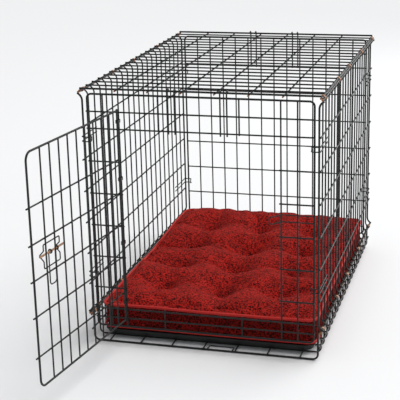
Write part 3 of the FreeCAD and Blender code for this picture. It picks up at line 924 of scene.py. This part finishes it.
def seam_drift(x, y):
    """How far a piped seam wanders: outward and upward, in metres."""
    out = waver(x, y, 1.9 * MM, 6.5, 3.1) + waver(x, y, 0.7 * MM, 17, 8.0)
    up = waver(x, y, 4.2 * MM, 5.0, 11.7) + waver(x, y, 1.2 * MM, 19, 1.3)
    return out, up


def crept_filling(settings, y):
    """Extra height at y from filling that has crept to the rear."""
    share = max(0.0, min(1.0, y / PAD_HIGH.y))
    return settings.rear_rise * share * share * (3 - 2 * share)


def seam_line(half_x, half_y, corner, height, wander):
    """Closed line of a piped seam round the pad."""
    line = []
    reach_x, reach_y = half_x - corner, half_y - corner
    outline = round_outline(half_x, half_y, corner, per_corner=9, per_side=22)
    for x, y in outline:
        out, up = seam_drift(x, y)
        centre_x, centre_y = max(min(x, reach_x), -reach_x), max(min(y, reach_y), -reach_y)
        push = Vector((x - centre_x, y - centre_y, 0)).normalized() * out * wander
        line.append(Vector((x + push.x, y + push.y, height + up * wander)))
    return line


def tuft_points(settings):
    """Where the tufts are tied, in plan."""
    width, length = PAD_HIGH.x - PAD_LOW.x, PAD_HIGH.y - PAD_LOW.y
    points = []
    for column in range(settings.tuft_columns):
        for row in range(settings.tuft_rows):
            x = (column - (settings.tuft_columns - 1) / 2) * width / (settings.tuft_columns + 0.55)
            y = (row - (settings.tuft_rows - 1) / 2) * length / (settings.tuft_rows + 0.95)
            out, up = seam_drift(x * 3 + 0.3, y * 3)
            points.append((x + out * 2.0, y + up * 1.5))
    return points


def seam_half():
    """Half the cover's width and length at its seams, just inside the middle of the piping."""
    radius = (WELT_HIGH.z - WELT_LOW.z) / 2
    return WELT_HIGH.x - radius - 1 * MM, WELT_HIGH.y - radius - 1 * MM


def cut_cover(settings, seam_top, seam_low):
    """The cover before it is filled: a closed block with eased edges, remeshed in even cells."""
    centre = (PAD_LOW + PAD_HIGH) / 2
    half_x, half_y = seam_half()
    levels = [  # (inset, height) from the underside to the top
        (16 * MM, PAD_LOW.z),
        (5 * MM, PAD_LOW.z + 3 * MM),
        (0.0, seam_low),
        (5 * MM, (seam_low + seam_top) / 2),
        (0.0, seam_top),
        (9 * MM, seam_top + 4.5 * MM),
        (26 * MM, seam_top + 8 * MM),
    ]
    bm = bmesh.new()
    rings = []
    for inset, height in levels:
        corner = settings.corner - inset * 0.5
        outline = round_outline(half_x - inset, half_y - inset, corner, per_corner=8)
        rings.append([(centre.x + x, centre.y + y, height) for x, y in outline])
    stack_rings(bm, rings)
    block = bpy.data.objects.new("cover_block", mesh_from("cover_block", bm))
    bpy.context.scene.collection.objects.link(block)
    remesh = block.modifiers.new("cells", "REMESH")
    remesh.mode = "VOXEL"
    remesh.voxel_size = settings.cell
    remesh.adaptivity = 0.0
    mesh = baked_mesh(block)
    bpy.data.objects.remove(block)
    return mesh


def seam_share(co, height, half_x, half_y, corner, reach):
    """1 on a seam line, falling to 0 at reach from it."""
    dx = max(abs(co.x) - (half_x - corner), 0.0)
    dy = max(abs(co.y) - (half_y - corner), 0.0)
    if abs(co.x) > half_x - corner and abs(co.y) > half_y - corner:
        edge = abs(math.hypot(dx, dy) - corner)
    else:
        edge = min(abs(abs(co.x) - half_x), abs(abs(co.y) - half_y))
    away = math.hypot(edge, co.z - height)
    return max(0.0, 1.0 - away / reach)


def fill_cover(mesh, settings, seam_top, seam_low, tufts):
    """Ties the tufts, holds the seams and the underside, and lets the filling swell the cover."""
    half_x, half_y = seam_half()
    obj = bpy.data.objects.new("cover", mesh)
    bpy.context.scene.collection.objects.link(obj)
    held = obj.vertex_groups.new(name="held")
    seam_hold = settings.cell * SEAM_HOLD
    cut = [v.co.copy() for v in mesh.vertices]
    for vertex, before in zip(mesh.vertices, cut):
        co = vertex.co
        tied = False
        if co.z > seam_top:
            for x, y in tufts:
                away = math.hypot(co.x - x, co.y - y)
                if away < TUFT_DISH:
                    throat = settings.tuft_depth * math.exp(-((away / TUFT_THROAT) ** 2))
                    co.z -= throat + TUFT_SAG * (1 - away / TUFT_DISH)
                tied = tied or away < settings.cell * TUFT_HOLD
        top = seam_share(co, seam_top, half_x, half_y, settings.corner, seam_hold)
        low = seam_share(co, seam_low, half_x, half_y, settings.corner, seam_hold)
        sewn = max(top, low) > 0.05
        if sewn:
            up = seam_drift(co.x, co.y)[1]
            co.z += up * (1.0 if top > low else 0.5)
        resting = co.z < PAD_LOW.z + 2 * MM
        raised = max(0.0, min(1.0, (before.z - seam_low) / (seam_top - seam_low)))
        co.z += crept_filling(settings, before.y) * raised
        if tied or sewn or resting:
            held.add([vertex.index], 1.0, "REPLACE")
    swell_cloth(obj, held, settings)
    after = baked_mesh(obj)
    limit = settings.swell + settings.tuft_depth
    side_x, side_y = half_x + SIDE_ROOM[0], half_y + SIDE_ROOM[1]
    for vertex, before in zip(after.vertices, cut):
        move = vertex.co - before
        if move.length > limit:
            vertex.co = before + move.normalized() * limit
        ceiling = PAD_HIGH.z + CROWN_ROOM + crept_filling(settings, before.y)
        if vertex.co.z > ceiling:
            vertex.co.z = ceiling + (vertex.co.z - ceiling) * 0.15
        vertex.co.x = max(min(vertex.co.x, side_x), -side_x)
        vertex.co.y = max(min(vertex.co.y, side_y), -side_y)
        vertex.co.z = max(vertex.co.z, PAD_LOW.z)
    bpy.data.objects.remove(obj)
    return after


def swell_cloth(obj, held, settings):
    """Lets the filling push the cover out as cloth; the caller applies the result."""
    modifier = obj.modifiers.new("filling", "CLOTH")
    cloth = modifier.settings
    cloth.quality = 6
    cloth.mass = 0.25
    cloth.tension_stiffness = 14
    cloth.compression_stiffness = 14
    cloth.shear_stiffness = 5
    cloth.bending_stiffness = 0.35
    cloth.air_damping = 3.0
    cloth.use_pressure = True
    cloth.uniform_pressure_force = 4.0
    cloth.effector_weights.gravity = 0.0
    cloth.vertex_group_mass = held.name
    cloth.pin_stiffness = 1.0
    cloth.shrink_min = -settings.spare_cloth
    modifier.collision_settings.use_collision = False
    modifier.collision_settings.use_self_collision = False
    modifier.point_cache.frame_start = 1
    modifier.point_cache.frame_end = FILLING_FRAMES
    for frame in range(1, FILLING_FRAMES + 1):
        bpy.context.scene.frame_set(frame)


# ------------------------------------------------------------------ operators

STRAP_ENDINGS = ("_lower_clips", "_upper_clips", "latch_bolt")
STRAP_NODES = [name for name in NODES if name.endswith(STRAP_ENDINGS)]
HINGE_LINE_ENDINGS = ("_lower_hinge_wire", "_hinge_wires", "_side_edge_wires")
HINGE_LINE_NODES = [name for name in NODES if name.endswith(HINGE_LINE_ENDINGS)]
SOFT_NODES = ["pan", "pad_cushion", "pad_top_piping", "pad_bottom_piping"]


class CRATE_OT_finish_wires(bpy.types.Operator):
    """Enamels every panel of wire, the latch handle and the strike"""

    bl_idname = "crate.finish_wires"
    bl_label = "Finish the wires"

    def execute(self, context):
        wire = context.scene.crate_wire
        enamel = enamelled_wire(wire)
        rusting = enamelled_wire(wire, "enamelled_hinge_wire", 1.0, True)
        cropped = enamelled_wire(wire, "enamelled_long_wire", 0.15, True)
        for name, node in NODES.items():
            if name in STRAP_NODES or name in SOFT_NODES:
                continue
            if name in HINGE_LINE_NODES:
                wear(node, rusting)
            else:
                wear(node, cropped if name == "top_long_wires" else enamel)
        return {"FINISHED"}


class CRATE_OT_finish_straps(bpy.types.Operator):
    """Rusts the strap clips and the latch bolt"""

    bl_idname = "crate.finish_straps"
    bl_label = "Finish the straps"

    def execute(self, context):
        wire = context.scene.crate_wire
        strap = rusting_strap(wire)
        bolt = rusting_strap(wire, "rusting_bolt", 0.2)
        for name in STRAP_NODES:
            wear(NODES[name], bolt if name == "latch_bolt" else strap)
        return {"FINISHED"}


class CRATE_OT_weld_crossings(bpy.types.Operator):
    """Sets a weld bead at every crossing of each panel"""

    bl_idname = "crate.weld_crossings"
    bl_label = "Weld the crossings"

    def execute(self, context):
        wire = context.scene.crate_wire
        scale = weld_scale(wire)
        for body, nodes in WELDED_PANELS.items():
            turn = door_turn() if body == "door" else Matrix.Identity(4)
            spots = crossings(nodes, turn)
            if not spots:
                raise RuntimeError(f"no crossing was found on {body}")
            mesh = bead_mesh(f"{body}_welds", spots, wire.weld_size, turn.inverted())
            beads = piece(f"{body}_welds", mesh, scale)
            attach(beads, body)
        return {"FINISHED"}


class CRATE_OT_press_tray(bpy.types.Operator):
    """Presses the tray with its rolled rim and its raised bead"""

    bl_idname = "crate.press_tray"
    bl_label = "Press the tray"

    def execute(self, context):
        settings = context.scene.crate_tray
        centre = (TRAY_LOW + TRAY_HIGH) / 2
        half = (TRAY_HIGH - TRAY_LOW) / 2
        bm = bmesh.new()
        rings = []
        for inset, height in tray_profile(TRAY_LOW, TRAY_HIGH, settings.gauge):
            corner = settings.corner - inset * 0.6
            outline = round_outline(half.x - inset, half.y - inset, corner, per_corner=12)
            rings.append([(centre.x + x, centre.y + y, height) for x, y in outline])
        stack_rings(bm, rings)
        tray = piece("tray", mesh_from("tray", bm), pressed_tray(settings))
        tray.data.set_sharp_from_angle(angle=math.radians(50))
        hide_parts("pan")
        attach(tray, "pan")
        return {"FINISHED"}


class CRATE_OT_sew_pad(bpy.types.Operator):
    """Cuts, ties and fills the tufted pad, then pipes its two seams"""

    bl_idname = "crate.sew_pad"
    bl_label = "Sew the pad"

    def execute(self, context):
        settings = context.scene.crate_pad
        seam_top = (WELT_LOW.z + WELT_HIGH.z) / 2
        seam_low = (HEM_LOW.z + HEM_HIGH.z) / 2
        tufts = tuft_points(settings)
        mesh = cut_cover(settings, seam_top, seam_low)
        mesh = fill_cover(mesh, settings, seam_top, seam_low, tufts)
        mesh.name = "pad_cover"
        mesh.shade_smooth()
        cover = piece("pad_cover", mesh, flecked_fleece(settings, seam_top, seam_low))
        finer = cover.modifiers.new("finer", "SUBSURF")
        finer.levels = finer.render_levels = 1
        cover.data = baked_mesh(cover)
        cover.modifiers.clear()
        cover.data.shade_smooth()
        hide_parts("pad_cushion")
        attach(cover, "pad")
        self.flatten(cover)
        self.tie(settings, cover, tufts)
        self.pipe(settings, "pad_welt", "pad_top_piping", seam_top, WELT_LOW, WELT_HIGH, 1.0)
        self.pipe(settings, "pad_hem", "pad_bottom_piping", seam_low, HEM_LOW, HEM_HIGH, 0.5)
        return {"FINISHED"}

    def tie(self, settings, cover, tufts):
        """Crossed threads at the bottom of each tuft."""
        curve = bpy.data.curves.new("pad_ties", "CURVE")
        curve.dimensions = "3D"
        curve.bevel_depth = 0.55 * MM
        curve.bevel_resolution = 2
        top = [v.co for v in cover.data.vertices if v.co.z > (PAD_LOW.z + PAD_HIGH.z) / 2]
        for index, (x, y) in enumerate(tufts):
            near = sorted(top, key=lambda co: (co.x - x) ** 2 + (co.y - y) ** 2)[:6]
            floor = sum((co.z for co in near), 0.0) / len(near)
            for strand in range(3):
                turn = index * 0.9 + strand * math.pi / 3
                reach = Vector((math.cos(turn), math.sin(turn), 0.0)) * 4.5 * MM
                spline = curve.splines.new("NURBS")
                spline.points.add(4)
                lifts = (-1.4, 0.7, 1.3 + 0.3 * strand, 0.7, -1.4)
                for point, share, lift in zip(spline.points, (-1.0, -0.75, 0.0, 0.75, 1.0), lifts):
                    point.co = (*(Vector((x, y, floor + lift * MM)) + reach * share), 1.0)
                spline.order_u = 3
                spline.use_endpoint_u = True
                spline.resolution_u = 3
        ties = piece("pad_ties", swept_mesh("pad_ties", curve), tie_thread(settings))
        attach(ties, "pad")
        self.flatten(ties)

    @staticmethod
    def flatten(obj):
        """Gives the object a mesh of its own."""
        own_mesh(obj)

    def pipe(self, settings, name, node, height, low, high, wander):
        """A cord of piping along a seam; the top one rises with the filling."""
        radius = (high.z - low.z) / 2
        half_x, half_y = (high.x - low.x) / 2 - radius, (high.y - low.y) / 2 - radius
        line = seam_line(half_x, half_y, settings.corner, height, wander)
        if node == "pad_top_piping":
            for co in line:
                co.z += crept_filling(settings, co.y)
        curve = bpy.data.curves.new(name, "CURVE")
        curve.dimensions = "3D"
        spline = curve.splines.new("NURBS")
        spline.points.add(len(line) - 1)
        for point, co in zip(spline.points, line):
            point.co = (*co, 1.0)
        spline.order_u = 4
        spline.use_cyclic_u = True
        spline.resolution_u = 3
        curve.bevel_depth = radius
        curve.bevel_resolution = 4
        cord = piece(name, swept_mesh(name, curve), twill_piping(settings))
        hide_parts(node)
        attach(cord, "pad")
        self.flatten(cord)


class CRATE_OT_set_stage(bpy.types.Operator):
    """Lays the floor and sets the lights and the camera"""

    bl_idname = "crate.set_stage"
    bl_label = "Set the stage"

    def execute(self, context):
        stage = context.scene.crate_stage
        scene = context.scene
        low, high = FRAME_BOX
        bm = bmesh.new()
        bmesh.ops.create_grid(bm, x_segments=1, y_segments=1, size=30.0)
        floor = piece("studio_floor", mesh_from("studio_floor", bm), studio_floor(stage))
        floor.location = ((low[0] + high[0]) / 2, (low[1] + high[1]) / 2, low[2] - 0.0005)

        world = bpy.data.worlds.new("studio_air")
        world.use_nodes = True
        nodes, links = world.node_tree.nodes, world.node_tree.links
        backing = nodes["Background"]
        backing.inputs["Color"].default_value = (0.97, 0.985, 1.0, 1.0)
        backing.inputs["Strength"].default_value = stage.room
        seen = nodes.new("ShaderNodeBackground")
        seen.inputs["Color"].default_value = (0.90, 0.905, 0.915, 1.0)
        chooser = nodes.new("ShaderNodeMixShader")
        links.new(nodes.new("ShaderNodeLightPath").outputs["Is Camera Ray"], chooser.inputs[0])
        links.new(backing.outputs[0], chooser.inputs[1])
        links.new(seen.outputs[0], chooser.inputs[2])
        links.new(chooser.outputs[0], nodes["World Output"].inputs["Surface"])
        scene.world = world

        lamp = bpy.data.lights.new("key_softlight", "SUN")
        lamp.energy = stage.key
        lamp.angle = math.radians(44)
        lamp.color = (1.0, 0.99, 0.975)
        key = bpy.data.objects.new("key_softlight", lamp)
        key.matrix_world = Vector((0.34, 0.26, 0.90)).to_track_quat("Z", "Y").to_matrix().to_4x4()
        scene.collection.objects.link(key)
        self.softbox("side_softbox", (3.0, -0.6, 1.9), 1.1, 14.0)
        self.softbox("rear_softbox", (2.3, 3.3, 1.5), 1.5, 42.0)

        camera = bpy.data.cameras.new("view_camera")
        camera.lens = stage.lens
        camera.sensor_width = 36.0
        camera.clip_end = 100.0
        eye = bpy.data.objects.new("view_camera", camera)
        eye.matrix_world = (
            Matrix.Translation(stage.eye)
            @ Matrix.Rotation(stage.heading, 4, "Z")
            @ Matrix.Rotation(math.pi / 2 - stage.tilt, 4, "X")
            @ Matrix.Rotation(stage.roll, 4, "Z")
        )
        scene.collection.objects.link(eye)
        scene.camera = eye
        scene.view_settings.view_transform = "Standard"
        return {"FINISHED"}

    @staticmethod
    def softbox(name, place, size, power):
        """A square area light at place, facing the crate a little right of its middle."""
        lamp = bpy.data.lights.new(name, "AREA")
        lamp.shape = "SQUARE"
        lamp.size = size
        lamp.energy = power
        holder = bpy.data.objects.new(name, lamp)
        aim = Vector((0.2, 0.0, 0.3)) - Vector(place)
        facing = aim.to_track_quat("-Z", "Y").to_matrix().to_4x4()
        holder.matrix_world = Matrix.Translation(place) @ facing
        bpy.context.scene.collection.objects.link(holder)


STEPS = (
    CRATE_OT_set_stage,
    CRATE_OT_finish_wires,
    CRATE_OT_finish_straps,
    CRATE_OT_weld_crossings,
    CRATE_OT_press_tray,
    CRATE_OT_sew_pad,
)


class CRATE_PT_panel(bpy.types.Panel):
    """Lists the crate's settings and steps"""

    bl_idname = "CRATE_PT_panel"
    bl_label = "Folding crate"
    bl_space_type = "VIEW_3D"
    bl_region_type = "UI"
    bl_category = "Crate"

    def draw(self, context):
        layout = self.layout
        for name, group in SETTINGS.items():
            box = layout.box()
            box.label(text=group.__doc__.rstrip("."))
            for prop in group.__annotations__:
                box.prop(getattr(context.scene, name), prop)
        for step in STEPS:
            layout.operator(step.bl_idname)


def register():
    for name, group in SETTINGS.items():
        bpy.utils.register_class(group)
        setattr(bpy.types.Scene, name, bpy.props.PointerProperty(type=group))
    for step in STEPS:
        bpy.utils.register_class(step)
    bpy.utils.register_class(CRATE_PT_panel)


def unregister():
    bpy.utils.unregister_class(CRATE_PT_panel)
    for step in reversed(STEPS):
        bpy.utils.unregister_class(step)
    for name, group in SETTINGS.items():
        delattr(bpy.types.Scene, name)
        bpy.utils.unregister_class(group)


def main():
    register()
    bpy.ops.crate.set_stage()
    bpy.ops.crate.finish_wires()
    bpy.ops.crate.finish_straps()
    bpy.ops.crate.weld_crossings()
    bpy.ops.crate.press_tray()
    bpy.ops.crate.sew_pad()


if __name__ == "__main__":
    main()
